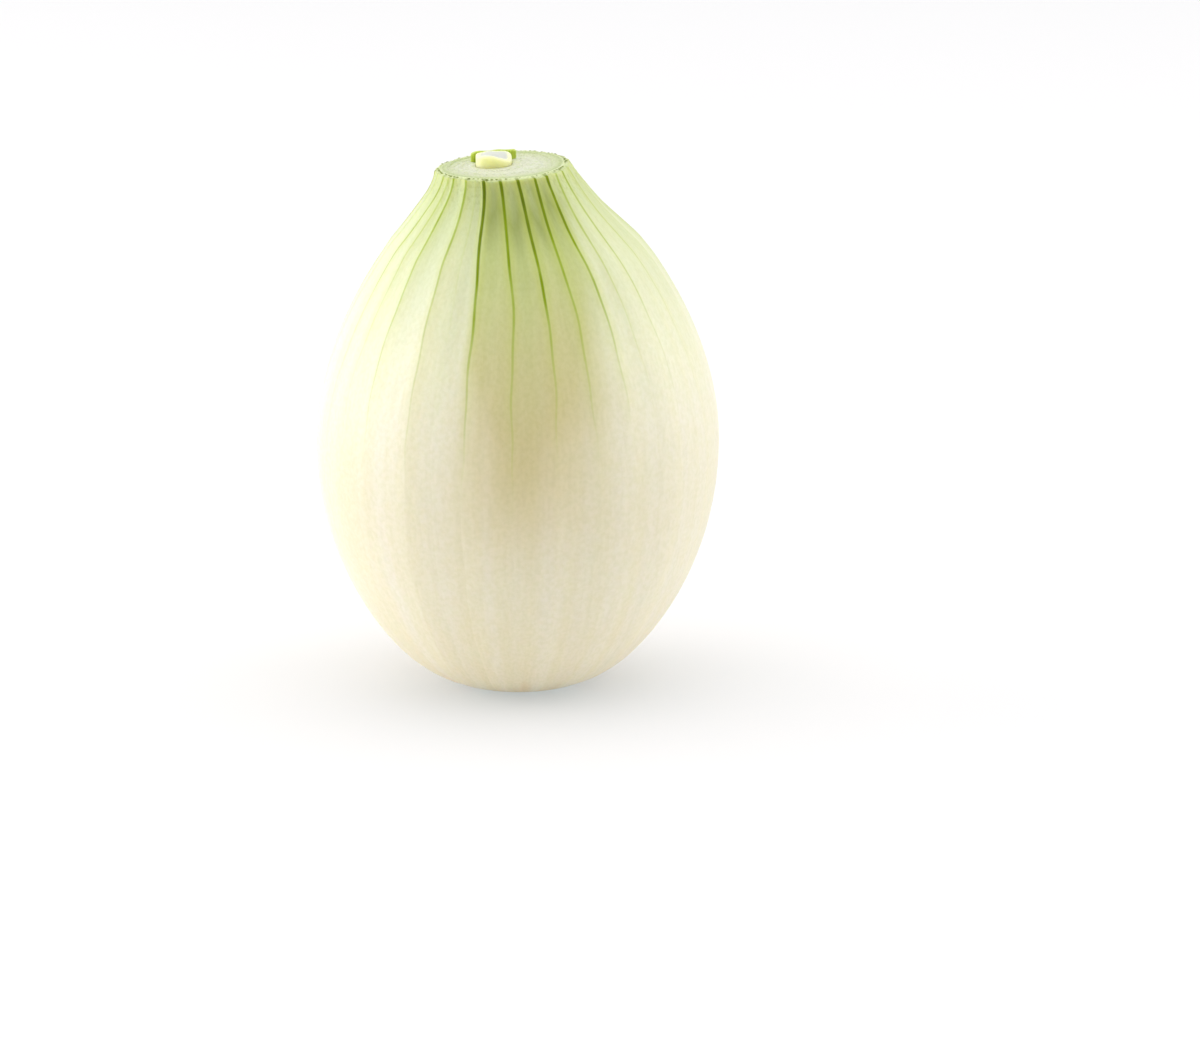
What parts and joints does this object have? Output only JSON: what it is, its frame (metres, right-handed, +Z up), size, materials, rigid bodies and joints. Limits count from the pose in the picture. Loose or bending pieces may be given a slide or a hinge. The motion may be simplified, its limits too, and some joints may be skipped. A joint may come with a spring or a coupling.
{
  "type": "spring onion bulb",
  "caption": "Trimmed bulb spring onion standing on its flat root cut, with two short inner-leaf stubs in the cut neck.",
  "frame": {"origin": "centre of the flat root cut that the bulb stands on", "axes": "+Z up along the bulb to its neck, -Y is the front, and +X is to the right seen from the front"},
  "size_m": [0.0599, 0.06, 0.0798],
  "materials": {
    "onion_skin": "fresh satin onion skin, ivory below and green-veined towards the neck",
    "pale_leaf": "smooth moist young leaf, yellow-green with a white cut face",
    "green_leaf": "smooth waxy green leaf"
  },
  "bodies": {
    "root": {"bulb": "onion_skin", "pale_inner_leaf": "pale_leaf", "green_inner_leaf": "green_leaf"}
  },
  "joints": []
}
